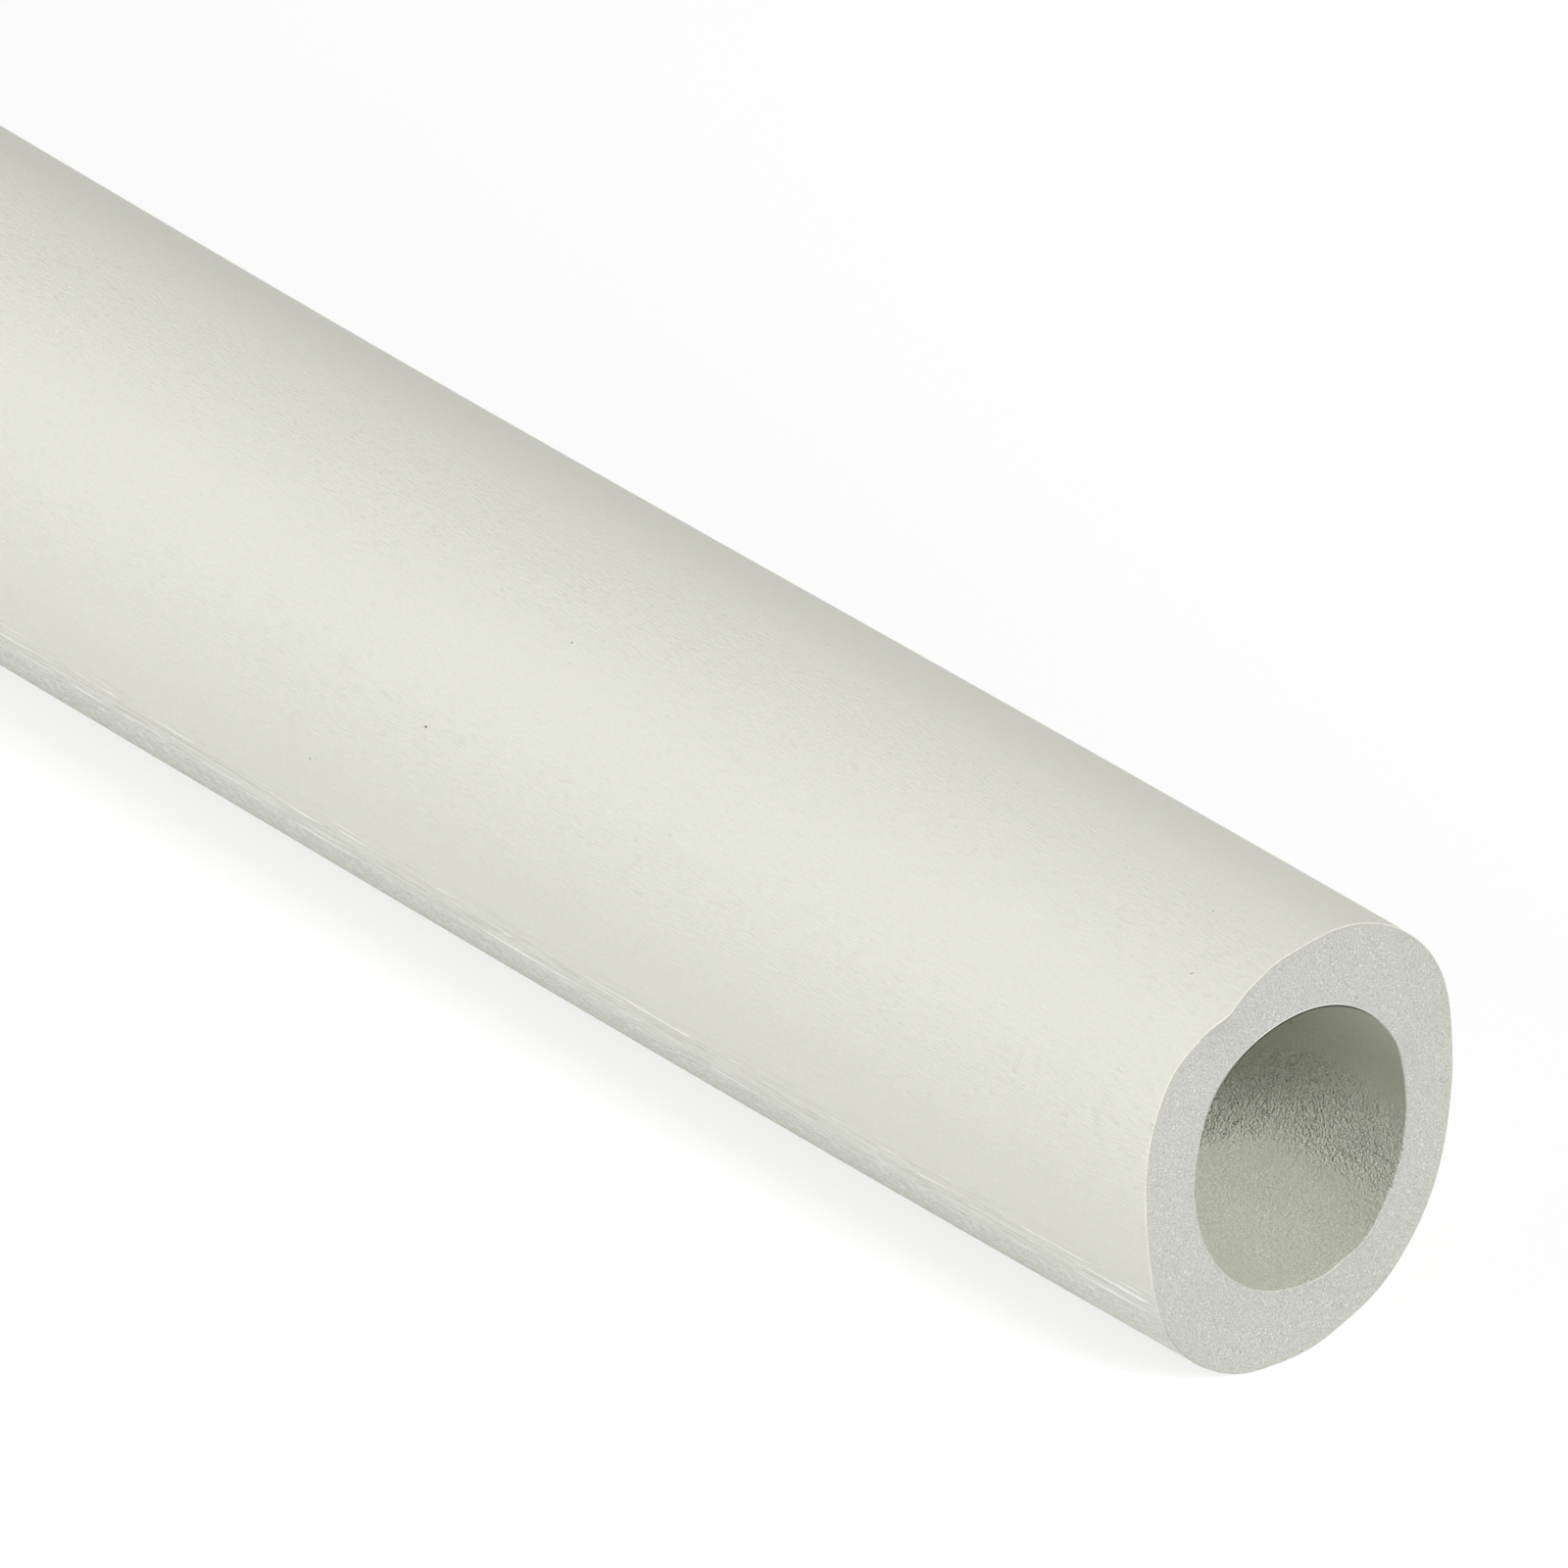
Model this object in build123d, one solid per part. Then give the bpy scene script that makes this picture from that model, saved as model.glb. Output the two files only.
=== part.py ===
from build123d import *
import math
import os

# A length of closed-cell foam pipe insulation: one extruded tube of pale, soft foam that is pushed over a
# pipe from its end. It was cut to length by hand from a longer stock tube, and it lies on its side.
# X runs along the tube with the hand-cut end at +X, Z is up, and the origin is the middle of the underside.

# Driving dimensions, in millimetres and degrees
tube_length = 500.0        # from the square far end to the middle of the hand-cut end
pipe_diameter = 35.0       # the pipe that the insulation is sold for
pipe_clearance = 0.5       # all round, between the pipe and the bore
wall_thickness = 9.0       # on average round the tube
squash = 2.0               # how far the outside's longest radius passes its mean, and its shortest falls short
squash_angle = 48.0        # the long way across the outside, from +Y up towards +Z
flat_depth = 1.0           # how far the underside is pressed in where the tube lies on it
flat_blend_radius = 5.0    # the soft turn from that flat to the round

# The hand-cut end: the knife leaned and turned, and the soft foam moved under it
cut_lean = -4.6            # the knife's lean: the foot of the cut stands out past its head
cut_turn = -3.3            # the knife's turn: the -Y side of the cut stands out past the +Y side
cut_waves = (              # the waves round the cut: how many, how high, and where the first crest stands
    (2, 0.65, 74.0),
    (3, 0.8, 77.0),
    (4, 0.3, 18.0),
    (5, 0.4, 40.0),
)

bore_radius = pipe_diameter / 2 + pipe_clearance
outer_radius = bore_radius + wall_thickness
long_radius = outer_radius + squash
short_radius = outer_radius - squash


def squashed_oval():
    """The outside before it is pressed flat: four arcs, tight ones at the long way's ends and wide ones
    along its sides, which run into each other on the oval's diagonals."""
    offset = (long_radius - short_radius) / (2 - math.sqrt(2))
    tight_radius = long_radius - offset
    wide_radius = short_radius + offset
    arcs = [
        CenterArc((offset, 0), tight_radius, -45, 90),
        CenterArc((0, -offset), wide_radius, 45, 90),
        CenterArc((-offset, 0), tight_radius, 135, 90),
        CenterArc((0, offset), wide_radius, 225, 90),
    ]
    return Rot(0, 0, squash_angle) * make_face(arcs)


def tube_section():
    """The foam's section, its bore on the origin: the oval, pressed flat underneath, round a round bore."""
    oval = squashed_oval()
    flat_height = oval.bounding_box().min.Y + flat_depth
    above_flat = Pos(0, flat_height + 2 * long_radius) * Rectangle(4 * long_radius, 4 * long_radius)
    outline = oval & above_flat
    flat_ends = outline.vertices().group_by(Axis.Y)[0]
    outline = fillet(flat_ends, flat_blend_radius)
    return outline - Circle(bore_radius)


def cut_height(y, z):
    """How far the cut stands out past a square end at the point (y, z) of the section.

    The leaning knife gives a plane. Each wave rises with the distance from the axis to the power of its
    count, so that it dies out smoothly towards the middle.
    """
    plane = y * math.tan(math.radians(cut_turn)) + z * math.tan(math.radians(cut_lean))
    reach = math.hypot(y, z) / outer_radius
    angle = math.atan2(z, y)
    waves = [
        height * reach**count * math.cos(count * (angle - math.radians(crest)))
        for count, height, crest in cut_waves
    ]
    return plane + sum(waves)


def hand_cut_waste():
    """The block that the knife took off beyond the +X end, with the wavy cut as its inner face."""
    rows = 15
    half_size = 1.15 * long_radius
    places = [half_size * (2 * row / (rows - 1) - 1) for row in range(rows)]
    points = [[(tube_length + cut_height(y, z), y, z) for z in places] for y in places]
    cut_face = Face.make_surface_from_array_of_points(points, tol=0.001, min_deg=3, max_deg=5)
    return extrude(cut_face, amount=2 * long_radius, dir=(1, 0, 0))


def insulation_tube():
    """The extruded tube, square at the far end and cut by hand at the near end."""
    blank = extrude(Plane.YZ * tube_section(), amount=tube_length + long_radius)
    tube = blank - hand_cut_waste()
    box = tube.bounding_box()
    return Pos(-box.center().X, -box.center().Y, -box.min.Z) * tube


os.makedirs("parts", exist_ok=True)
tube = insulation_tube()
tube.label = "insulation_tube"
export_step(tube, "parts/insulation_tube.step")

box = tube.bounding_box()
bore = tube.faces().filter_by(GeomType.CYLINDER).sort_by(SortBy.AREA)[-1]
print(f"box {box.size.X:.3f} x {box.size.Y:.3f} x {box.size.Z:.3f} mm, volume {tube.volume:.1f} mm3")
print(f"square end at x {box.min.X:.3f}, bore {bore.bounding_box().min.Z + bore_radius:.3f} mm up")
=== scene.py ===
import math

import bpy
import numpy as np
from mathutils import Matrix, Vector


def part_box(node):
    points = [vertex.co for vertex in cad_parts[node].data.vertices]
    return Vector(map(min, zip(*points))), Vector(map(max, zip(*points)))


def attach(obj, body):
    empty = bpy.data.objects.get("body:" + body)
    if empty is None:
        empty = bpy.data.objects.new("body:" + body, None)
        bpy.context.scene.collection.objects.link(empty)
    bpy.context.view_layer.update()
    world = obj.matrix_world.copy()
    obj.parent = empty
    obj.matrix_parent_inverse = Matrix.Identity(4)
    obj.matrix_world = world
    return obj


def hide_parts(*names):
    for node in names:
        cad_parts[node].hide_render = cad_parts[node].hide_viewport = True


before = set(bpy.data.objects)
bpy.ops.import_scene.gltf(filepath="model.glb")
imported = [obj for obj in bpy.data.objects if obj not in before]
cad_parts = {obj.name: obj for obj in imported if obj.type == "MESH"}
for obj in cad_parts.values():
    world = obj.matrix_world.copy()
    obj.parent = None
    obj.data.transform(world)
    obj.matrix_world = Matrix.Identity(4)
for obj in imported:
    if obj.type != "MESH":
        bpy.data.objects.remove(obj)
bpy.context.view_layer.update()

# The foam tube. One length of pale closed-cell foam, drawn hot through a die, which closes its outside and
# its bore with a smooth skin. It is sawn square at the far end and cut by hand with a knife at the near end.
# It lies on its side, pressed a little flat underneath by its own weight.

# Its sizes are in millimetres and degrees. Angles run round the bore's axis from +Y towards +Z, so 90 is the
# top of the tube and 270 its underside. The long way across the outside leans at the squash angle.
MM = 0.001
tube_length = 500.0
bore_radius = 18.0
wall_thickness = 9.0
squash = 2.0
squash_angle = 48.0
flat_depth = 1.0
left_turn_radius = 14.0
right_turn_radius = 26.0
cut_lean = -4.6
cut_turn = -3.3

outer_radius = bore_radius + wall_thickness
long_radius = outer_radius + squash
short_radius = outer_radius - squash
arc_offset = (long_radius - short_radius) / (2 - math.sqrt(2))
tight_radius = long_radius - arc_offset
wide_radius = short_radius + arc_offset
squash_turn = math.radians(squash_angle)
tight_centre = (-arc_offset * math.cos(squash_turn), -arc_offset * math.sin(squash_turn))
wide_centre = (-arc_offset * math.sin(squash_turn), arc_offset * math.cos(squash_turn))
flat_height = tight_centre[1] - tight_radius + flat_depth
axis_height = -flat_height
square_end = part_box("insulation_tube")[0].x / MM
cut_middle = square_end + tube_length


def arc_reach(angle, centre, radius):
    """How far a circle lies from the bore's axis in a direction: its centre's own reach that way, plus half
    the chord that the direction cuts from it."""
    along = centre[0] * np.cos(angle) + centre[1] * np.sin(angle)
    across = centre[0] * np.sin(angle) - centre[1] * np.cos(angle)
    return along + np.sqrt(np.maximum(radius**2 - across**2, 0))


def flat_turn(centre, radius, turn_radius, side):
    """The soft turn from the flat up into an arc: its own centre, and the angles where it meets the arc and
    the flat. It stands one turn radius above the flat, and that much less than the arc's radius from the
    arc's centre."""
    z = flat_height + turn_radius
    y = centre[0] + side * math.sqrt((radius - turn_radius) ** 2 - (z - centre[1]) ** 2)
    share = radius / (radius - turn_radius)
    meets_y = centre[0] + (y - centre[0]) * share
    meets_z = centre[1] + (z - centre[1]) * share
    on_arc = math.degrees(math.atan2(meets_z, meets_y)) % 360
    on_flat = math.degrees(math.atan2(flat_height, y)) % 360
    return (y, z), on_arc, on_flat


def skin_reach(degrees):
    """The outside's distance from the bore's axis: two tight and two wide arcs that run into each other, the
    flat underneath, and the soft turn at each side of the flat."""
    angle = np.radians(degrees)
    turned = angle - squash_turn
    change = math.atan2(tight_radius, tight_radius + math.sqrt(2) * arc_offset)
    end = np.sign(np.cos(turned)) * arc_offset
    side = -np.sign(np.sin(turned)) * arc_offset
    tight = arc_reach(turned, (end, 0), tight_radius)
    wide = arc_reach(turned, (0, side), wide_radius)
    reach = np.where(np.abs(np.cos(turned)) >= math.cos(change), tight, wide)
    left, left_arc, left_flat = flat_turn(tight_centre, tight_radius, left_turn_radius, -1)
    right, right_arc, right_flat = flat_turn(wide_centre, wide_radius, right_turn_radius, 1)
    place = degrees % 360
    on_left = (place > left_arc) & (place < left_flat)
    on_right = (place > right_flat) & (place < right_arc)
    on_flat = (place >= left_flat) & (place <= right_flat)
    reach = np.where(on_left, arc_reach(angle, left, left_turn_radius), reach)
    reach = np.where(on_right, arc_reach(angle, right, right_turn_radius), reach)
    return np.where(on_flat, flat_height / np.minimum(np.sin(angle), -0.1), reach)


def bell(degrees, middle, width):
    """1 at an angle, falling smoothly to nothing two widths to either side."""
    away = (degrees - middle + 180) % 360 - 180
    return np.exp(-((away / width) ** 2))


def ease(value, low, high):
    """0 below low, 1 above high, and a smooth step between them."""
    share = np.clip((value - low) / (high - low), 0, 1)
    return share * share * (3 - 2 * share)


# The knife's waves, as how many go round, their height and the angle of a crest. The kinks are where it was
# stopped and pressed on again, as height, angle and width: some fade inwards from the skin, others outwards
# from the bore.
knife_waves = ((2, 0.65, 74.0), (3, 0.8, 77.0), (4, 0.3, 18.0), (5, 0.4, 40.0))
skin_kinks = (
    (0.2, 0.0, 10.0),
    (-0.5, 97.0, 8.0),
    (0.75, 117.0, 5.5),
    (-0.35, 139.0, 9.0),
    (0.9, 262.0, 14.0),
    (0.35, 295.0, 14.0),
)
bore_kinks = ((0.5, 28.0, 11.0), (0.5, 160.0, 18.0), (0.5, 300.0, 11.0), (0.25, 277.0, 8.0))


def cut_place(degrees, reach):
    """Where the hand cut stands along X at a distance from the axis: the knife's leaning plane, plus waves
    that grow as a power of that distance, plus kinks that fade across the wall."""
    y = reach * np.cos(np.radians(degrees))
    z = reach * np.sin(np.radians(degrees))
    place = cut_middle + y * math.tan(math.radians(cut_turn)) + z * math.tan(math.radians(cut_lean))
    for count, height, crest in knife_waves:
        wave = np.cos(np.radians(count * (degrees - crest)))
        place = place + height * (reach / outer_radius) ** count * wave
    depth = np.clip((reach - bore_radius) / (skin_reach(degrees) - bore_radius), 0, 1)
    for height, crest, width in skin_kinks:
        place = place + height * bell(degrees, crest, width) * depth**2
    for height, crest, width in bore_kinks:
        place = place + height * bell(degrees, crest, width) * (1 - depth) ** 2
    return place


def uneven(seed, along, degrees, step, count):
    """Soft unevenness between -1 and 1: chance heights, one every step millimetres along and count times
    round, with smooth steps between them. The last one round meets the first."""
    u = np.broadcast_to(along / step, np.broadcast_shapes(along.shape, degrees.shape))
    v = (degrees % 360) / 360 * count + 0 * along
    heights = np.random.default_rng(seed).uniform(-1, 1, (int(u.max()) + 3, count))
    row = np.floor(u).astype(int)
    column = np.floor(v).astype(int) % count
    after = (column + 1) % count
    p = ease(u - np.floor(u), 0, 1)
    q = ease(v - np.floor(v), 0, 1)
    near = heights[row, column] * (1 - q) + heights[row, after] * q
    far = heights[row + 1, column] * (1 - q) + heights[row + 1, after] * q
    return near * (1 - p) + far * p


# The grid's columns run along the tube. They are closer together at the creased flank and at the wrinkled
# side of the bore.
column_count = 376
spread = 270 + np.linspace(0, 360, 3601)
closeness = 1 + 1.8 * bell(spread, 203, 12) + 0.6 * bell(spread, 325, 45)
covered = np.concatenate([[0], np.cumsum((closeness[1:] + closeness[:-1]) / 2)])
degrees = np.interp(np.arange(column_count) / column_count, covered / covered[-1], spread)[None, :]
cosine = np.cos(np.radians(degrees))
sine = np.sin(np.radians(degrees))
skin_radius = skin_reach(degrees)

# The cut and the square end both leave a slightly soft edge.
edge_softness = 0.1


def rounded_off(from_edge):
    """How far a soft edge has sunk at a distance from it: a quarter circle of the edge's softness."""
    short_of = np.maximum(edge_softness - from_edge, 0)
    return edge_softness - np.sqrt(np.maximum(edge_softness**2 - short_of**2, 0))


def strip_x(edge, back):
    """Where a row of a wall stands along X, from its distance behind the cut. The rows are squeezed or
    stretched a little, so that the cut's waves fade out evenly towards the square end."""
    return edge - back * (edge - square_end) / tube_length


# The skin, from the square end to the cut. The die left it with a bundle of fine creases low on one flank,
# some of them broken off, and under those the skin is rough. A slow swell dies out towards the cut, and the
# knife nipped the skin in a little on the far side.
crease_angle = 206
crease_width = 5.5
crease_depth = 0.07
crease_length = 21
creases_round = 330
break_length = 7
breaks_round = 150
swell_height = 0.24
swell_length = 270
nip_angle = 38
nip_width = 14
nip_depth = 0.15
nip_length = 20
skin_back = np.concatenate(
    [
        tube_length - np.array([0, 0.03, 0.1, 0.4, 1.5, 5]),
        np.linspace(486, 250, 18),
        np.linspace(245, 100, 34),
        np.linspace(97, 8, 44),
        np.array([6.4, 5, 3.8, 2.8, 2.1, 1.5, 1.1, 0.8, 0.5, 0.3, 0.18, 0.1, 0.03, 0]),
    ]
)[:, None]
skin_edge = cut_place(degrees, skin_radius)
skin_x = strip_x(skin_edge, skin_back)
from_end = np.minimum(skin_back, tube_length - skin_back)
creased = bell(degrees, crease_angle, crease_width)
crease_lines = 1 - np.abs(uneven(11, skin_back, degrees, crease_length, creases_round)) * 1.8
crease_breaks = 0.55 + 0.45 * uneven(12, skin_back, degrees, break_length, breaks_round)
crease_height = crease_depth * creased * (np.maximum(crease_lines, 0) ** 2 - 0.25) * crease_breaks
swell = swell_height * np.sin(2 * math.pi * skin_back / swell_length) * ease(-skin_back, -400, -280)
swell = swell * (1 - bell(degrees, 270, 40)) ** 2
nip = nip_depth * bell(degrees, nip_angle, nip_width)
skin_r = skin_radius + swell - nip * np.exp(-skin_back / nip_length) - rounded_off(from_end)
skin_r = skin_r + crease_height * ease(from_end, 0, 0.3)

# The cut face, from the skin inwards to the bore. The skin and the bore's own skin stand a little proud of
# the foam between them, because the knife drags them. Over the bore it dragged them a little inwards too.
burr_height = 0.2
wall = skin_radius - bore_radius
over_bore = bell(degrees, 90, 50)
burr = burr_height * over_bore
lip_width = 0.36
lip_steps = np.array([0.1, 0.16, 0.24, lip_width])[:, None]
lip_heights = np.array([0.05, 0.045, 0.015, 0])[:, None]
face_share = np.linspace(0, 1, 18)[1:-1, None]
face_r = np.concatenate(
    [
        skin_radius - nip - lip_steps,
        skin_radius - nip - lip_width - face_share * (wall - nip - 2 * lip_width),
        bore_radius + lip_steps[::-1] - burr * lip_steps[0] / lip_steps[::-1],
    ]
)
face_lift = np.concatenate([lip_heights, 0 * face_share, lip_heights[::-1]])
face_x = cut_place(degrees, face_r) + face_lift

# The bore, from the cut to the square end. Its skin is wrinkled like leather in a band along one side, which
# is weaker near the cut and slants round the bore deeper in. It is smooth over the top.
wrinkle_angle = 337
wrinkle_width = 18
wrinkle_depth = 0.02
wrinkle_length = 1.5
wrinkles_round = 80
burr_length = 0.4
bore_in = np.concatenate(
    [
        np.array([0, 0.03, 0.1, 0.25, 0.5]),
        np.linspace(0.85, 34, 92),
        np.linspace(38, 480, 14),
        tube_length - np.array([5, 1.5, 0.4, 0.1, 0.03, 0]),
    ]
)[:, None]
bore_edge = cut_place(degrees, bore_radius)
bore_x = strip_x(bore_edge, bore_in)
from_rim = np.minimum(bore_in, tube_length - bore_in)
band_middle = wrinkle_angle - 1.8 * np.clip(bore_in - 20, 0, 10)
wrinkled = ease(bell(degrees, band_middle, wrinkle_width), 0.05, 0.85)
wrinkled = wrinkled * (0.65 + 0.35 * ease(bore_in, 2, 10))
wrinkle_height = wrinkle_depth * uneven(21, bore_in, degrees, wrinkle_length, wrinkles_round)
bore_r = bore_radius + rounded_off(from_rim) - wrinkled * wrinkle_height * ease(from_rim, 0, 1.5)
bore_r = bore_r - burr * np.exp(-bore_in / burr_length)

# The square end, from the bore outwards.
end_share = np.linspace(0, 1, 5)[:, None]
end_r = bore_radius + edge_softness + end_share * (wall - 2 * edge_softness)
end_x = square_end + 0 * end_r

# The soft length isn't dead straight: it weaves sideways by less than a millimetre.
weave = 0.755


def sideways(x):
    """How far the tube's axis stands to one side at a place along it: one wave over the whole length."""
    return -weave * np.sin(2 * math.pi * (cut_middle - x) / tube_length)


# The four strips join into one closed skin, each row of points shared by the strips that it borders.
x = np.concatenate([skin_x, face_x, bore_x, end_x])
r = np.concatenate([skin_r, face_r, bore_r, end_r])
points = np.stack([x, r * cosine + sideways(x), r * sine + axis_height], -1) * MM
row_count = len(x)
row = np.arange(row_count)[:, None]
column = np.arange(column_count)[None, :]
next_row = (row + 1) % row_count
next_column = (column + 1) % column_count
corners = [
    row * column_count + column,
    row * column_count + next_column,
    next_row * column_count + next_column,
    next_row * column_count + column,
]
quads = np.stack(corners, -1).reshape(-1, 4)

tube_mesh = bpy.data.meshes.new("foam_tube")
tube_mesh.vertices.add(row_count * column_count)
tube_mesh.vertices.foreach_set("co", points.astype(np.float32).ravel())
tube_mesh.loops.add(quads.size)
tube_mesh.loops.foreach_set("vertex_index", quads.astype(np.int32).ravel())
tube_mesh.polygons.add(len(quads))
tube_mesh.polygons.foreach_set("loop_start", np.arange(0, quads.size, 4, dtype=np.int32))
SKIN = 0
CUT = 1
BORE = 2
surface = np.concatenate(
    [
        np.full(len(skin_x) - 1, SKIN),
        np.full(len(face_x) + 1, CUT),
        np.full(len(bore_x) - 1, BORE),
        np.full(len(end_x) + 1, CUT),
    ]
)
tube_mesh.polygons.foreach_set("material_index", np.repeat(surface, column_count).astype(np.int32))
tube_mesh.polygons.foreach_set("use_smooth", np.ones(len(quads), bool))

# The tube unrolls into one sheet, as wide as it is round. Each strip takes a share of the sheet that suits
# how closely it is looked at: the cut and the first few centimetres take the most.
step_along = np.hypot(np.diff(x.mean(1), append=x[:1].mean(1)), np.diff(r.mean(1), append=r[:1].mean(1)))
cut_weight = 13.0
end_weight = 6.0
seen_closely = np.concatenate(
    [
        0.7 + 3.6 * ease(-skin_back[:, 0], -260, -30),
        np.full(len(face_x), cut_weight),
        0.2 + 5.5 * ease(-bore_in[:, 0], -60, -34),
        np.full(len(end_x), end_weight),
    ]
)
down_sheet = np.concatenate([[0], np.cumsum(step_along * seen_closely)])
down_sheet /= down_sheet[-1]
across_sheet = np.arange(column_count + 1) / column_count
sheet = tube_mesh.uv_layers.new(name="OFBake")
sheet_corners = [
    (across_sheet[None, :-1], down_sheet[:-1, None]),
    (across_sheet[None, 1:], down_sheet[:-1, None]),
    (across_sheet[None, 1:], down_sheet[1:, None]),
    (across_sheet[None, :-1], down_sheet[1:, None]),
]
flat_places = [np.stack(np.broadcast_arrays(u, v), -1) for u, v in sheet_corners]
sheet.data.foreach_set("uv", np.stack(flat_places, 2).astype(np.float32).ravel())


def on_strips(skin=0.0, face=0.0, bore=0.0):
    """One value for each point of the grid, from the values on the skin, the cut face and the bore. The
    square end has none of what they show."""
    strips = [(skin, skin_x), (face, face_x), (bore, bore_x), (0.0, end_x)]
    return np.concatenate([np.broadcast_to(value, strip.shape) for value, strip in strips])


# How strongly each point of the grid shows what the die, the knife and handling left on it. First the two
# edges of the cut, on both sides of each edge: each fades out over a fraction of a millimetre.
skin_lip = on_strips(skin=np.exp(-skin_back / 0.3), face=np.exp(-(skin_radius - face_r) / 0.5))
rim_fade = 0.35
face_to_bore = np.concatenate([face_r[:-4] - bore_radius, lip_steps[::-1] + 0 * degrees])
bore_lip = on_strips(face=np.exp(-face_to_bore / rim_fade), bore=np.exp(-bore_in / rim_fade))

# On the skin: the rubbed underside, which starts just under the creased flank and ends short of the far
# side, the creases themselves, the flecks torn at the cut, and two broad bands where the die drew it most.
band_edge = 208.5 + 0.9 * uneven(31, skin_back, degrees, 25, 36)
rough = ease(degrees % 360, band_edge - 3.5, band_edge + 4.0) * (1 - ease(degrees % 360, 285, 305))
rough_skin = on_strips(skin=rough)
flank_creases = on_strips(skin=creased)
fleck_fade = 1.3
edge_flecks = on_strips(skin=bell(degrees, 161, 12) * np.exp(-skin_back / fleck_fade))
drawn = 0.5 + 0.5 * bell(degrees, 97, 26) + 0.45 * bell(degrees, 163, 24)
drawn_skin = on_strips(skin=drawn + 0.15 * uneven(32, skin_back, degrees, 40, 14))

# In the bore: its wrinkles, its grain, which is faint from the far side up to the top and weaker just under
# the wrinkles, and the short creases that the knife pulled at the rim.
bore_wrinkles = on_strips(bore=wrinkled)
past_foot = (degrees - 250) % 360
grained = 1 - ease(past_foot, 85, 105) * (1 - ease(past_foot, 180, 240))
grained = grained * (1 - 0.55 * bell(degrees, 312, 8) * ease(bore_in, 3, 9))
bore_grain = on_strips(bore=grained)
pull_length = 5
bore_creases = on_strips(bore=bell(degrees, 316, 13) * np.exp(-bore_in / pull_length))
for name, strength in (
    ("skin_lip", skin_lip),
    ("bore_lip", bore_lip),
    ("over_bore", over_bore),
    ("rough_skin", rough_skin),
    ("flank_creases", flank_creases),
    ("edge_flecks", edge_flecks),
    ("drawn_skin", drawn_skin),
    ("bore_wrinkles", bore_wrinkles),
    ("bore_creases", bore_creases),
    ("bore_grain", bore_grain),
):
    layer = tube_mesh.attributes.new(name, "FLOAT", "POINT")
    layer.data.foreach_set("value", np.broadcast_to(strength, r.shape).astype(np.float32).ravel())
tube_mesh.update()
tube_mesh.validate()
foam_tube = bpy.data.objects.new("foam_tube", tube_mesh)
bpy.context.scene.collection.objects.link(foam_tube)
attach(foam_tube, "root")
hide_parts("insulation_tube")


# The finishes are built from a few small helpers, each of which adds nodes to a tree and gives back what
# they put out.
def put(tree, kind, inputs=None, **settings):
    """One node. Its settings are set, and each input is given a number or colour, or a socket to read."""
    node = tree.nodes.new(kind)
    for name, setting in settings.items():
        setattr(node, name, setting)
    for place, value in (inputs or {}).items():
        if isinstance(value, bpy.types.NodeSocket):
            tree.links.new(value, node.inputs[place])
        else:
            node.inputs[place].default_value = value
    return node


def sum_of(tree, operation, first, second=0.0, third=0.0):
    """What one step of arithmetic gives."""
    return put(tree, "ShaderNodeMath", {0: first, 1: second, 2: third}, operation=operation).outputs[0]


def product(tree, first, second):
    """Two masks or values multiplied."""
    return sum_of(tree, "MULTIPLY", first, second)


def fade(tree, value, low, high):
    """0 where a value is below low, 1 above high, with a smooth step between them."""
    ranges = {"Value": value, "From Min": low, "From Max": high}
    return put(tree, "ShaderNodeMapRange", ranges, interpolation_type="SMOOTHSTEP").outputs["Result"]


def blend(tree, share, first, second):
    """One colour turning into another by a share from 0 to 1."""
    node = put(tree, "ShaderNodeMix", {0: share, 6: first, 7: second}, data_type="RGBA")
    return node.outputs[2]


def laid_over(tree, mask, share, colour, over):
    """A colour with another laid over it where a mask shows, by a share from 0 to 1."""
    return blend(tree, product(tree, mask, share), colour, over)


def strength_of(tree, name):
    """How strongly each point of the tube shows what its name says."""
    return put(tree, "ShaderNodeAttribute", attribute_name=name).outputs["Fac"]


def start_group(name, sizes, results):
    """A group of nodes that several finishes share: its tree, its inputs and its outputs."""
    group = bpy.data.node_groups.new(name, "ShaderNodeTree")
    for size_name, value in sizes.items():
        size = group.interface.new_socket(size_name, in_out="INPUT", socket_type="NodeSocketFloat")
        size.default_value = value
    for result in results:
        group.interface.new_socket(result, in_out="OUTPUT", socket_type="NodeSocketFloat")
    return group, group.nodes.new("NodeGroupInput"), group.nodes.new("NodeGroupOutput")


def chance_cells(tree, vector, scale, **settings):
    """Cells that fill the space, each round a point of its own: the distance from that point, and three
    chance numbers that each cell keeps for itself."""
    cell = put(tree, "ShaderNodeTexVoronoi", {"Vector": vector, "Scale": scale}, **settings)
    chances = put(tree, "ShaderNodeSeparateColor", {0: cell.outputs["Color"]}).outputs
    return cell.outputs["Distance"], chances


# Lines drawn by the die. Noise stretched along the tube gives soft lines. Thin ridges and the grooves between
# them are the crests and troughs of a sine wave round the tube, which wanders and breaks off with that noise.
# Short crisp strokes fill a share of stretched cells, picked by chance. The pattern lies flat on the skin,
# along the tube and round it from the top.
line_wander = 7.0
die_lines, given, found = start_group(
    "die_lines",
    {"Length": 0.003, "Width": 0.0003, "Share": 0.5},
    ("Lines", "Ridges", "Grooves", "Strokes"),
)
place = put(die_lines, "ShaderNodeSeparateXYZ", {0: put(die_lines, "ShaderNodeTexCoord").outputs["Object"]})
above_axis = sum_of(die_lines, "SUBTRACT", place.outputs[2], axis_height * MM)
turned = sum_of(die_lines, "ARCTAN2", place.outputs[1], above_axis)
around = product(die_lines, turned, outer_radius * MM)
along = sum_of(die_lines, "DIVIDE", place.outputs[0], given.outputs["Length"])
across = sum_of(die_lines, "DIVIDE", around, given.outputs["Width"])
stretched = put(die_lines, "ShaderNodeCombineXYZ", {0: along, 1: across}).outputs[0]
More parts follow.
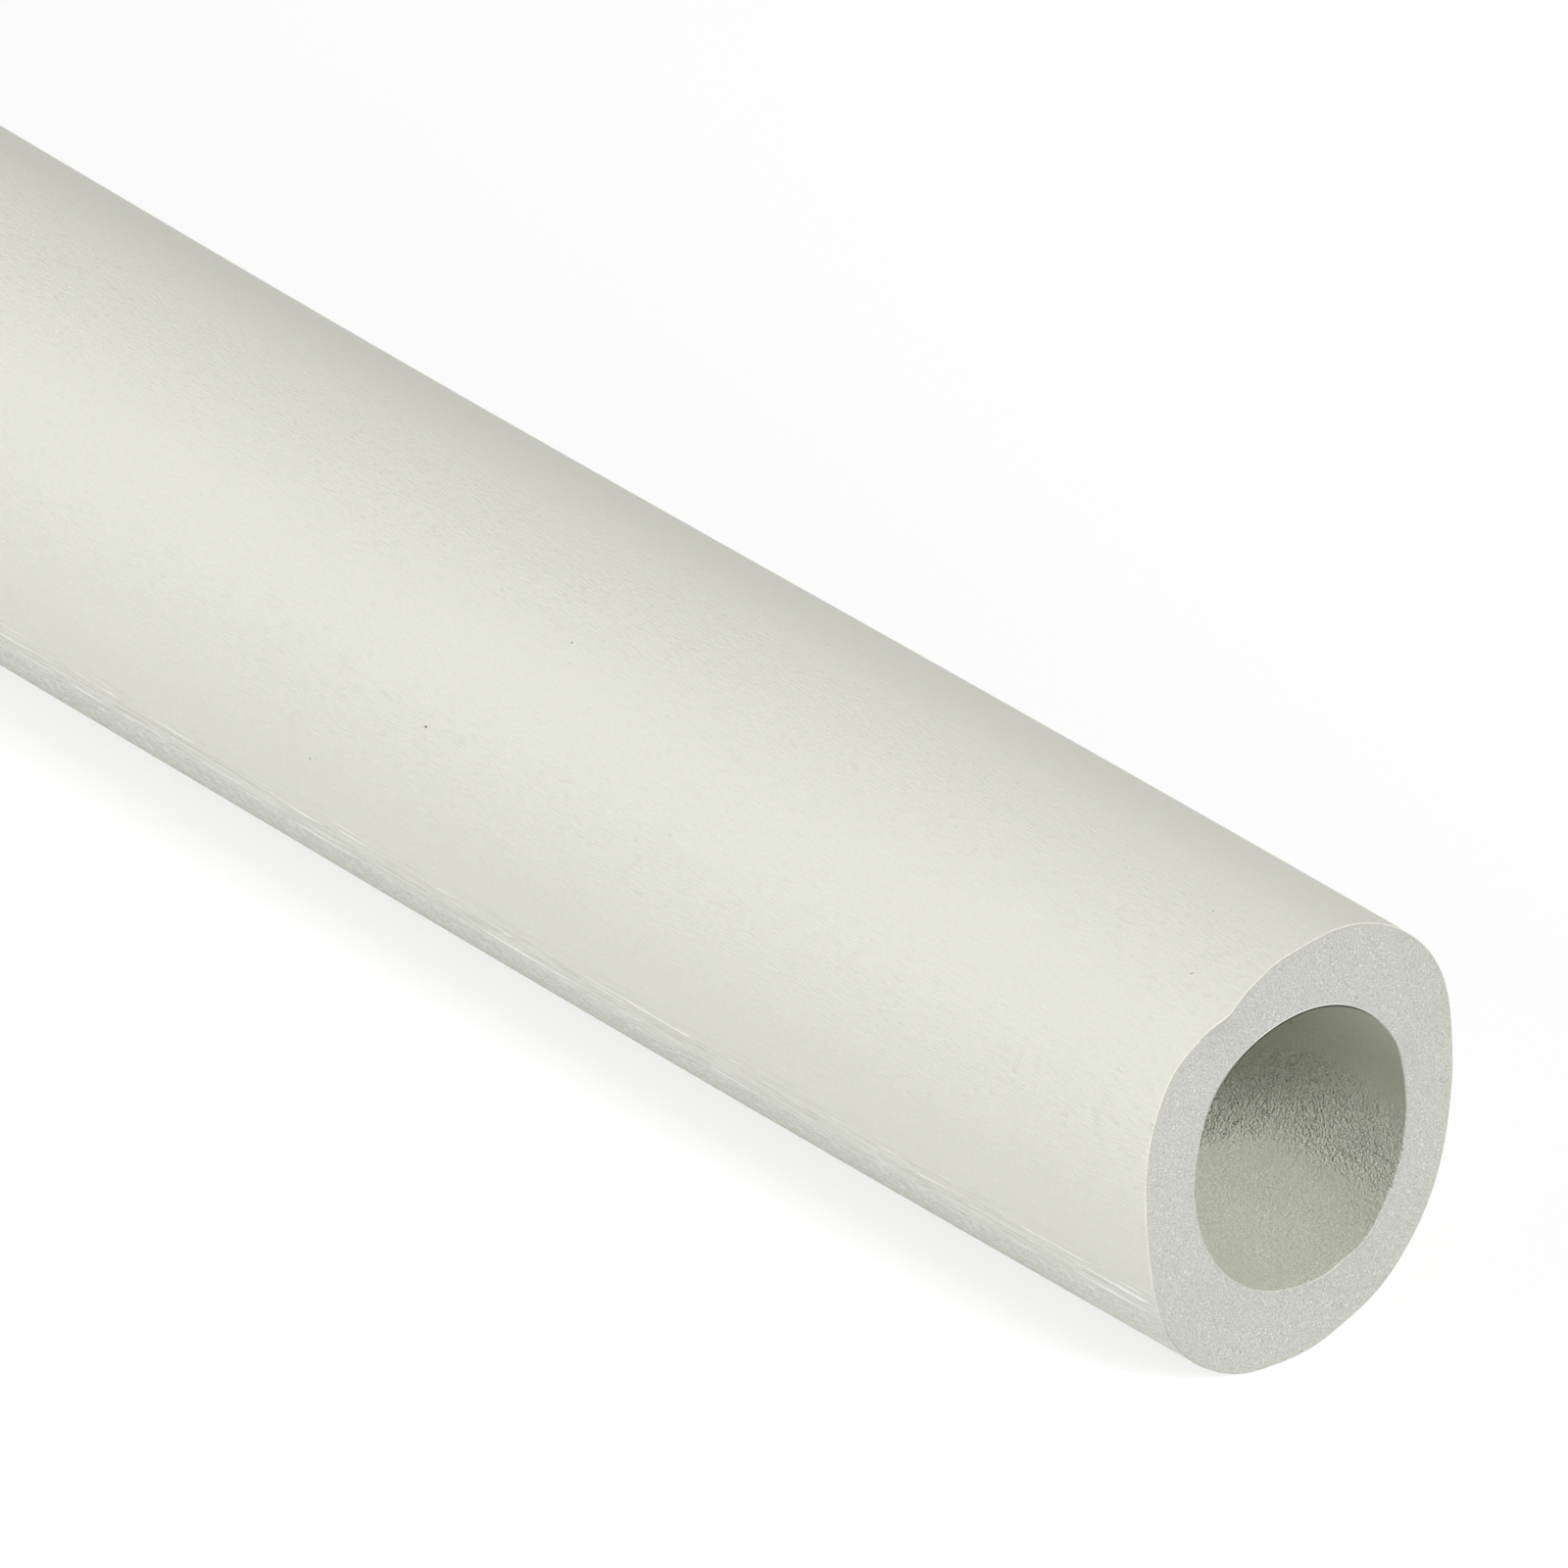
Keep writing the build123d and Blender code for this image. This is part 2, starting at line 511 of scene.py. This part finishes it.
noise = put(
    die_lines,
    "ShaderNodeTexNoise",
    {"Vector": stretched, "Scale": 1.0, "Detail": 1.0},
    noise_dimensions="2D",
)
die_lines.links.new(noise.outputs["Fac"], found.inputs["Lines"])
wander = product(die_lines, noise.outputs["Fac"], line_wander)
wave = sum_of(die_lines, "SINE", sum_of(die_lines, "MULTIPLY_ADD", across, 2 * math.pi, wander))
unbroken = fade(die_lines, noise.outputs["Fac"], 0.38, 0.5)
ridge = product(die_lines, fade(die_lines, wave, 0.45, 0.95), unbroken)
groove = product(die_lines, fade(die_lines, wave, -0.45, -0.95), unbroken)
die_lines.links.new(ridge, found.inputs["Ridges"])
die_lines.links.new(groove, found.inputs["Grooves"])
distance, chances = chance_cells(die_lines, stretched, 1.0, voronoi_dimensions="2D")
picked = sum_of(die_lines, "GREATER_THAN", given.outputs["Share"], chances[0])
inside = fade(die_lines, distance, 0.4, 0.2)
die_lines.links.new(product(die_lines, picked, inside), found.inputs["Strokes"])

# Foam cells: fine grain, cell walls that catch the light as bright dots, open cells that show as pits, and
# the round tops of cells under a thin skin.
glints_per_cell = 0.42
pits_per_cell = 0.3
pit_radius = 0.16
foam_cells, given, found = start_group(
    "foam_cells",
    {"Cell": 0.0003, "Glints": 0.5, "Pits": 0.06},
    ("Grain", "Glints", "Pits", "Domes"),
)
place = put(foam_cells, "ShaderNodeTexCoord").outputs["Object"]
fineness = sum_of(foam_cells, "DIVIDE", 1.0, given.outputs["Cell"])
grain = put(
    foam_cells,
    "ShaderNodeTexNoise",
    {"Vector": place, "Scale": fineness, "Detail": 2.0, "Roughness": 0.6},
)
foam_cells.links.new(grain.outputs["Fac"], found.inputs["Grain"])
glint_scale = product(foam_cells, fineness, glints_per_cell)
distance, chances = chance_cells(foam_cells, place, glint_scale)
lit = sum_of(foam_cells, "GREATER_THAN", given.outputs["Glints"], chances[0])
size = sum_of(foam_cells, "MULTIPLY_ADD", chances[1], 0.12, 0.12)
dot = fade(foam_cells, sum_of(foam_cells, "SUBTRACT", size, distance), -0.03, 0.08)
foam_cells.links.new(product(foam_cells, lit, dot), found.inputs["Glints"])
pit_scale = product(foam_cells, fineness, pits_per_cell)
distance, chances = chance_cells(foam_cells, place, pit_scale)
open_cell = sum_of(foam_cells, "GREATER_THAN", given.outputs["Pits"], chances[0])
dot = fade(foam_cells, sum_of(foam_cells, "SUBTRACT", pit_radius, distance), -0.03, 0.06)
foam_cells.links.new(product(foam_cells, open_cell, dot), found.inputs["Pits"])
distance, chances = chance_cells(foam_cells, place, fineness)
raised = fade(foam_cells, distance, 0.6, 0.1)
foam_cells.links.new(product(foam_cells, raised, chances[2]), found.inputs["Domes"])


def wall_point(back, degrees, radius_of):
    """A place on the skin or in the bore, from its distance behind the cut and its angle."""
    reach = radius_of(degrees)
    edge = cut_place(degrees, reach)
    x = strip_x(edge, back)
    y = reach * np.cos(np.radians(degrees)) + sideways(x)
    z = reach * np.sin(np.radians(degrees)) + axis_height
    return Vector((float(x), float(y), float(z))) * MM


def marks_group(name, marks, radius_of):
    """Small marks on a wall, each a long drop shape: its distance behind the cut, angle, length, width and
    the slant at which it lies. A point is inside a mark where its place, measured in the mark's own half
    length and half widths, is less than 1 from the mark's middle, and the mark's edge is soft."""
    group, given, found = start_group(name, {}, ("Marks",))
    place = put(group, "ShaderNodeTexCoord").outputs["Object"]
    total = None
    for back, degrees, length, width, slant in marks:
        middle = wall_point(back, degrees, radius_of)
        sizes = Vector((length / 2, width / 2, width / 2)) * MM
        turn = Matrix.Rotation(math.radians(degrees), 3, "X") @ Matrix.Rotation(math.radians(slant), 3, "Y")
        mapping = put(group, "ShaderNodeMapping", {"Vector": place}, vector_type="TEXTURE")
        mapping.inputs["Location"].default_value = middle
        mapping.inputs["Rotation"].default_value = turn.to_euler("XYZ")
        mapping.inputs["Scale"].default_value = sizes
        far = put(group, "ShaderNodeVectorMath", {0: mapping.outputs[0]}, operation="LENGTH").outputs["Value"]
        inside = fade(group, far, 1.25, 0.7)
        total = inside if total is None else sum_of(group, "MAXIMUM", total, inside)
    group.links.new(total, found.inputs["Marks"])
    return group


def bore_reach(degrees):
    """How far the bore's wall lies from its axis, which is the same all round."""
    return bore_radius + 0 * degrees


# Pinholes in the skin, where a cell broke through, and small nicks beside the cut. Then a nick, two long
# fine slits and two short ones in the bore.
skin_marks = marks_group(
    "skin_marks",
    (
        (121.7, 117.6, 0.45, 0.26, 35),
        (135.2, 158.8, 0.5, 0.3, 0),
        (156.1, 184.8, 0.5, 0.3, 60),
        (154.9, 184.0, 1.0, 0.2, 25),
        (191.2, 144.3, 0.35, 0.25, 0),
        (214.7, 121.3, 0.35, 0.25, 0),
        (223.9, 139.6, 0.4, 0.3, 0),
        (50.8, 128.8, 0.35, 0.22, 20),
        (45.5, 162.3, 0.4, 0.3, 0),
        (8.7, 111.8, 0.75, 0.16, 70),
        (13.9, 92.3, 0.3, 0.22, 0),
        (42.3, 142.1, 0.3, 0.18, 0),
        (113.7, 78.9, 1.6, 0.16, 15),
        (61.0, 165.0, 0.25, 0.2, 0),
        (33.4, 150.5, 0.3, 0.2, 0),
        (29.0, 174.0, 0.3, 0.2, 0),
    ),
    skin_reach,
)
bore_marks = marks_group(
    "bore_marks",
    (
        (21.2, 4.0, 0.9, 0.5, 0),
        (4.3, 331.4, 7.4, 0.14, 0.5),
        (9.0, 325.5, 4.0, 0.12, 1),
        (30.0, 307.5, 1.2, 0.2, 20),
        (29.8, 304.4, 1.4, 0.2, 40),
    ),
    bore_reach,
)


def foam_finish(name, roughness, shine):
    """A new foam finish, with its shader's own roughness and shine."""
    material = bpy.data.materials.new(name)
    material.use_nodes = True
    shader = material.node_tree.nodes["Principled BSDF"]
    shader.inputs["Roughness"].default_value = roughness
    shader.inputs["Specular IOR Level"].default_value = shine
    tube_mesh.materials.append(material)
    return material.node_tree, shader


def shared(tree, group, **values):
    """A shared group placed in a finish with its own values."""
    node = put(tree, "ShaderNodeGroup", node_tree=group)
    for name, value in values.items():
        node.inputs[name].default_value = value
    return node.outputs


def relief(tree, *layers):
    """One bump from several layers, each a height from 0 to 1, how strongly it shows, and its depth in
    millimetres. The layers are added up before the bump reads them."""
    total = 0.0
    for height, strength, depth in layers:
        part = product(tree, height, strength)
        total = sum_of(tree, "MULTIPLY_ADD", part, depth, total)
    return put(tree, "ShaderNodeBump", {"Height": total, "Distance": MM}).outputs[0]


# The skin's finish: smooth and pale, cream where the knife stretched it, with short lines from the die and a
# few pinholes where a cell broke through. Painted highlights run along the ridges of the creased flank, with
# painted shade in the grooves between them, and the underside has rubbed down to bare foam.
skin_colour = (0.757, 0.757, 0.675, 1)
grain_colour = (0.81, 0.81, 0.73, 1)
stroke_colour = (0.85, 0.85, 0.77, 1)
fleck_colour = (0.95, 0.94, 0.85, 1)
bare_dark = (0.66, 0.67, 0.605, 1)
bare_light = (0.82, 0.83, 0.765, 1)
glint_colour = (0.95, 0.95, 0.9, 1)
scuff_colour = (0.94, 0.94, 0.89, 1)
# Painted shade for the flank's grooves and painted highlight for its crease ridges.
groove_shade_colour = (0.5, 0.5, 0.43, 1)
ridge_highlight_colour = (1, 1, 0.94, 1)
cream_colour = (0.83, 0.805, 0.715, 1)
pinhole_colour = (0.2, 0.2, 0.14, 1)
tree, shader = foam_finish("foam_skin", roughness=0.65, shine=0.3)
cells = shared(tree, foam_cells, Cell=0.0003, Glints=0.45)
fine = shared(tree, die_lines, Length=0.0017, Width=0.00022, Share=0.4)
coarse = shared(tree, die_lines, Length=0.0024, Width=0.00036, Share=0.4)
strong = shared(tree, die_lines, Length=0.014, Width=0.0009)
pinholes = shared(tree, skin_marks)["Marks"]
lip = strength_of(tree, "skin_lip")
worn = strength_of(tree, "rough_skin")
flank = strength_of(tree, "flank_creases")
flecks = strength_of(tree, "edge_flecks")
lines = strength_of(tree, "drawn_skin")
stroke = product(tree, fine["Strokes"], lines)
# Painted highlights on the crease ridges, and painted shade in the grooves between them.
ridge_highlight = fade(tree, product(tree, strong["Ridges"], flank), 0.1, 0.6)
groove = product(tree, strong["Grooves"], flank)
scuff = product(tree, coarse["Strokes"], worn)
fleck = product(tree, sum_of(tree, "MULTIPLY_ADD", coarse["Strokes"], 0.75, 0.25), flecks)
grain = fade(tree, cells["Grain"], 0.35, 0.65)
colour = laid_over(tree, grain, 0.4, skin_colour, grain_colour)
colour = laid_over(tree, stroke, 0.45, colour, stroke_colour)
colour = blend(tree, fleck, colour, fleck_colour)
bare = blend(tree, grain, bare_dark, bare_light)
bare = blend(tree, cells["Glints"], bare, glint_colour)
bare = laid_over(tree, scuff, 0.8, bare, scuff_colour)
colour = blend(tree, worn, colour, bare)
colour = laid_over(tree, groove, 0.25, colour, groove_shade_colour)
colour = blend(tree, ridge_highlight, colour, ridge_highlight_colour)
smooth_skin = sum_of(tree, "SUBTRACT", 1.0, worn)
cream = product(tree, fade(tree, lip, 0.25, 0.9), smooth_skin)
colour = blend(tree, cream, colour, cream_colour)
colour = blend(tree, pinholes, colour, pinhole_colour)
tree.links.new(colour, shader.inputs["Base Color"])
normal = relief(
    tree,
    (fine["Lines"], lines, 0.09),
    (fine["Strokes"], lines, 0.028),
    (coarse["Lines"], worn, 0.2),
    (coarse["Lines"], flecks, 0.3),
    (strong["Ridges"], flank, 0.2),
    (cells["Grain"], worn, 0.26),
)
tree.links.new(normal, shader.inputs["Normal"])
rougher = sum_of(tree, "MULTIPLY_ADD", worn, 0.2, 0.62)
tree.links.new(rougher, shader.inputs["Roughness"])

# The cut's finish: bare foam, cells too fine to tell apart, with painted glints on cell walls and a few
# open pits. Beside the skin it is warmer. Over the bore, the bore's own skin is a bright thread with a line
# of painted shade along its inner edge.
foam_dark = (0.42, 0.426, 0.392, 1)
foam_light = (0.615, 0.621, 0.577, 1)
# Painted glints of light on the cut's cell walls.
cut_glint_colour = (0.8, 0.81, 0.78, 1)
open_cell_colour = (0.3, 0.31, 0.27, 1)
warm_colour = (0.525, 0.505, 0.435, 1)
thread_colour = (0.74, 0.75, 0.69, 1)
# Painted shade for the thin line just inside the bore's top edge.
rim_shade_colour = (0.035, 0.035, 0.028, 1)
tree, shader = foam_finish("foam_cut", roughness=0.8, shine=0.25)
cells = shared(tree, foam_cells, Cell=0.0002, Glints=0.4, Pits=0.04)
lip = strength_of(tree, "skin_lip")
rim = strength_of(tree, "bore_lip")
grain = fade(tree, cells["Grain"], 0.35, 0.65)
colour = blend(tree, grain, foam_dark, foam_light)
# Painted glints where cell walls catch the light.
colour = blend(tree, cells["Glints"], colour, cut_glint_colour)
colour = blend(tree, cells["Pits"], colour, open_cell_colour)
colour = laid_over(tree, lip, 0.6, colour, warm_colour)
over = strength_of(tree, "over_bore")
thread = product(tree, fade(tree, rim, 0.36, 0.46), fade(tree, over, 0.35, 1))
colour = blend(tree, thread, colour, thread_colour)
# A line of painted shade along the bore's top edge, just inside the bright thread.
painted_rim_shade = product(tree, fade(tree, rim, 0.52, 0.6), fade(tree, over, 0.1, 0.8))
colour = blend(tree, painted_rim_shade, colour, rim_shade_colour)
tree.links.new(colour, shader.inputs["Base Color"])
normal = relief(
    tree,
    (cells["Grain"], 1.0, 0.08),
    (cells["Pits"], -1.0, 0.08),
)
tree.links.new(normal, shader.inputs["Normal"])

# The bore's finish: a thinner skin than outside, grained by the cells under it, leathery in its wrinkled band
# and pulled into short creases at the rim. The band is painted lighter, with painted highlights on its domes
# and crumples and painted shade in its hollows, and a line of painted shade runs along the top of the rim.
bore_dark = (0.6, 0.613, 0.528, 1)
bore_light = (0.775, 0.788, 0.686, 1)
# Painted light for the wrinkled band, painted highlights for its domes and crumples, and painted shade for
# its hollows.
painted_band_light = (0.9, 0.91, 0.81, 1)
dome_highlight_colour = (0.97, 0.98, 0.88, 1)
crumple_highlight_colour = (1, 1, 0.93, 1)
hollow_shade_colour = (0.44, 0.45, 0.37, 1)
bore_mark_colour = (0.35, 0.35, 0.28, 1)
tree, shader = foam_finish("foam_bore", roughness=0.6, shine=0.35)
cells = shared(tree, foam_cells, Cell=0.00028)
leather = shared(tree, foam_cells, Cell=0.0004)
crisp = shared(tree, die_lines, Length=0.001, Width=0.00048, Share=0.4)
fine = shared(tree, die_lines, Length=0.005, Width=0.0009)
marks = shared(tree, bore_marks)["Marks"]
wrinkle = strength_of(tree, "bore_wrinkles")
pulled = strength_of(tree, "bore_creases")
rim = strength_of(tree, "bore_lip")
smooth_top = sum_of(tree, "MULTIPLY_ADD", strength_of(tree, "bore_grain"), 0.72, 0.33)
uneven_grain = product(tree, sum_of(tree, "SUBTRACT", cells["Grain"], 0.5), smooth_top)
grain = fade(tree, uneven_grain, -0.15, 0.15)
colour = blend(tree, grain, bore_dark, bore_light)
# The wrinkled band is painted lighter to make up for its shade. Its domes and crumples get painted
# highlights, and its hollows get painted shade.
colour = laid_over(tree, wrinkle, 0.25, colour, painted_band_light)
dome_highlight = product(tree, leather["Domes"], wrinkle)
colour = laid_over(tree, dome_highlight, 0.9, colour, dome_highlight_colour)
crumple_highlight = product(tree, crisp["Strokes"], wrinkle)
colour = laid_over(tree, crumple_highlight, 0.85, colour, crumple_highlight_colour)
hollow_shade = product(tree, fade(tree, leather["Grain"], 0.5, 0.35), wrinkle)
colour = laid_over(tree, hollow_shade, 0.15, colour, hollow_shade_colour)
over = strength_of(tree, "over_bore")
# The same line of painted shade on the first fraction of a millimetre of the bore, under its top edge.
painted_rim_shade = product(tree, fade(tree, rim, 0.3, 0.7), fade(tree, over, 0.1, 0.8))
colour = blend(tree, painted_rim_shade, colour, rim_shade_colour)
colour = laid_over(tree, marks, 0.4, colour, bore_mark_colour)
tree.links.new(colour, shader.inputs["Base Color"])
normal = relief(
    tree,
    (cells["Grain"], smooth_top, 0.15),
    (leather["Domes"], wrinkle, 0.42),
    (leather["Grain"], wrinkle, 0.4),
    (crisp["Strokes"], wrinkle, 0.14),
    (fine["Lines"], pulled, 0.26),
    (marks, -1.0, 0.15),
)
tree.links.new(normal, shader.inputs["Normal"])

# The floor. A plain white sheet that the tube lies on, wide enough that no view sees its edge, and white to
# the eye while it keeps the tube's shadow.
floor_half = 20.0
paper_colour = (0.78, 0.78, 0.78, 1)
faint_colour = (0.36, 0.36, 0.36, 1)
plain_white = (1, 1, 1, 1)
glow_strength = 0.72
floor_mesh = bpy.data.meshes.new("floor")
floor_corners = np.array([(-1, -1, 0), (1, -1, 0), (1, 1, 0), (-1, 1, 0)]) * floor_half
floor_mesh.from_pydata(floor_corners.tolist(), [], [(0, 1, 2, 3)])
floor = bpy.data.objects.new("floor", floor_mesh)
bpy.context.scene.collection.objects.link(floor)
floor_material = bpy.data.materials.new("white_floor")
floor_material.use_nodes = True
tree = floor_material.node_tree
tree.nodes.clear()


def seen_directly(tree):
    """1 for light that goes to the eye, straight or by way of gloss or glass, and 0 for light that goes on
    to the tube."""
    path = put(tree, "ShaderNodeLightPath").outputs
    glossy = sum_of(tree, "MAXIMUM", path["Is Camera Ray"], path["Is Glossy Ray"])
    return sum_of(tree, "MAXIMUM", glossy, path["Is Transmission Ray"])


seen = seen_directly(tree)
paper = put(tree, "ShaderNodeBsdfDiffuse", {"Color": paper_colour}).outputs[0]
faint_paper = put(tree, "ShaderNodeBsdfDiffuse", {"Color": faint_colour}).outputs[0]
glow = put(tree, "ShaderNodeEmission", {"Color": plain_white, "Strength": glow_strength}).outputs[0]
white = put(tree, "ShaderNodeAddShader", {0: faint_paper, 1: glow}).outputs[0]
either = put(tree, "ShaderNodeMixShader", {0: seen, 1: paper, 2: white}).outputs[0]
put(tree, "ShaderNodeOutputMaterial", {"Surface": either})
floor_mesh.materials.append(floor_material)

# The light. Two large soft lamps low on the near side, two smaller ones before the cut, a faint one behind,
# and an even, dim room. Each lamp has its direction, round and up in degrees, its size in metres and its
# watts.
lamp_distance = 3
lamp_aim = Vector((0.15, 0, 0.03))
room_strength = 0.1
room = bpy.data.worlds.new("room")
bpy.context.scene.world = room
room.use_nodes = True
tree = room.node_tree
tree.nodes.clear()
dim = put(tree, "ShaderNodeBackground", {"Color": plain_white, "Strength": room_strength}).outputs[0]
bright = put(tree, "ShaderNodeBackground", {"Color": plain_white, "Strength": 1.0}).outputs[0]
either = put(tree, "ShaderNodeMixShader", {0: seen_directly(tree), 1: dim, 2: bright}).outputs[0]
put(tree, "ShaderNodeOutputWorld", {"Surface": either})


def soft_lamp(name, azimuth, elevation, size, watts):
    """A square lamp, turned towards the middle of the near half of the tube from the lamps' distance."""
    across = math.cos(math.radians(elevation))
    away = Vector(
        (
            math.sin(math.radians(azimuth)) * across,
            -math.cos(math.radians(azimuth)) * across,
            math.sin(math.radians(elevation)),
        )
    )
    light = bpy.data.lights.new(name, "AREA")
    light.shape = "SQUARE"
    light.size = size
    light.energy = watts
    lamp = bpy.data.objects.new(name, light)
    bpy.context.scene.collection.objects.link(lamp)
    lamp.location = lamp_aim + away * lamp_distance
    lamp.rotation_euler = away.to_track_quat("Z", "Y").to_euler()


soft_lamp("front_lamp", -25, 15, 1.9, 50)
soft_lamp("left_lamp", -80, 15, 1.9, 33)
soft_lamp("end_lamp", 87, 38, 1.1, 59)
soft_lamp("low_end_lamp", 97, 24, 1.0, 21)
soft_lamp("back_lamp", 180, 20, 1.9, 9)

# The camera. It looks down at the near end from 29 degrees, from far away through a long lens. The middle of
# the cut stands low on the right of the picture, whose scale is in picture dots per millimetre.
azimuth = math.radians(40.3095)
elevation = math.radians(29.3066)
right = Vector((math.sin(azimuth), math.cos(azimuth), 0))
level = Vector((-math.cos(azimuth), math.sin(azimuth), 0))
up = level * math.sin(elevation) + Vector((0, 0, math.cos(elevation)))
back = right.cross(up)
picture_size = 1600
picture_middle = picture_size / 2
picture_scale = 8.45302
cut_across = 1328.384
cut_down = 1171.190
camera_distance = 5133.0
aim = Vector((cut_middle, 0, axis_height))
aim = aim - right * ((cut_across - picture_middle) / picture_scale)
aim = aim + up * ((cut_down - picture_middle) / picture_scale)
lens = bpy.data.cameras.new("camera")
lens.sensor_width = 36
lens.lens = picture_scale * camera_distance * lens.sensor_width / picture_size
lens.clip_end = 100
camera = bpy.data.objects.new("camera", lens)
bpy.context.scene.collection.objects.link(camera)
turn = Matrix((right, up, back)).transposed().to_4x4()
camera.matrix_world = Matrix.Translation((aim + back * camera_distance) * MM) @ turn
bpy.context.scene.camera = camera
bpy.context.scene.view_settings.view_transform = "Standard"
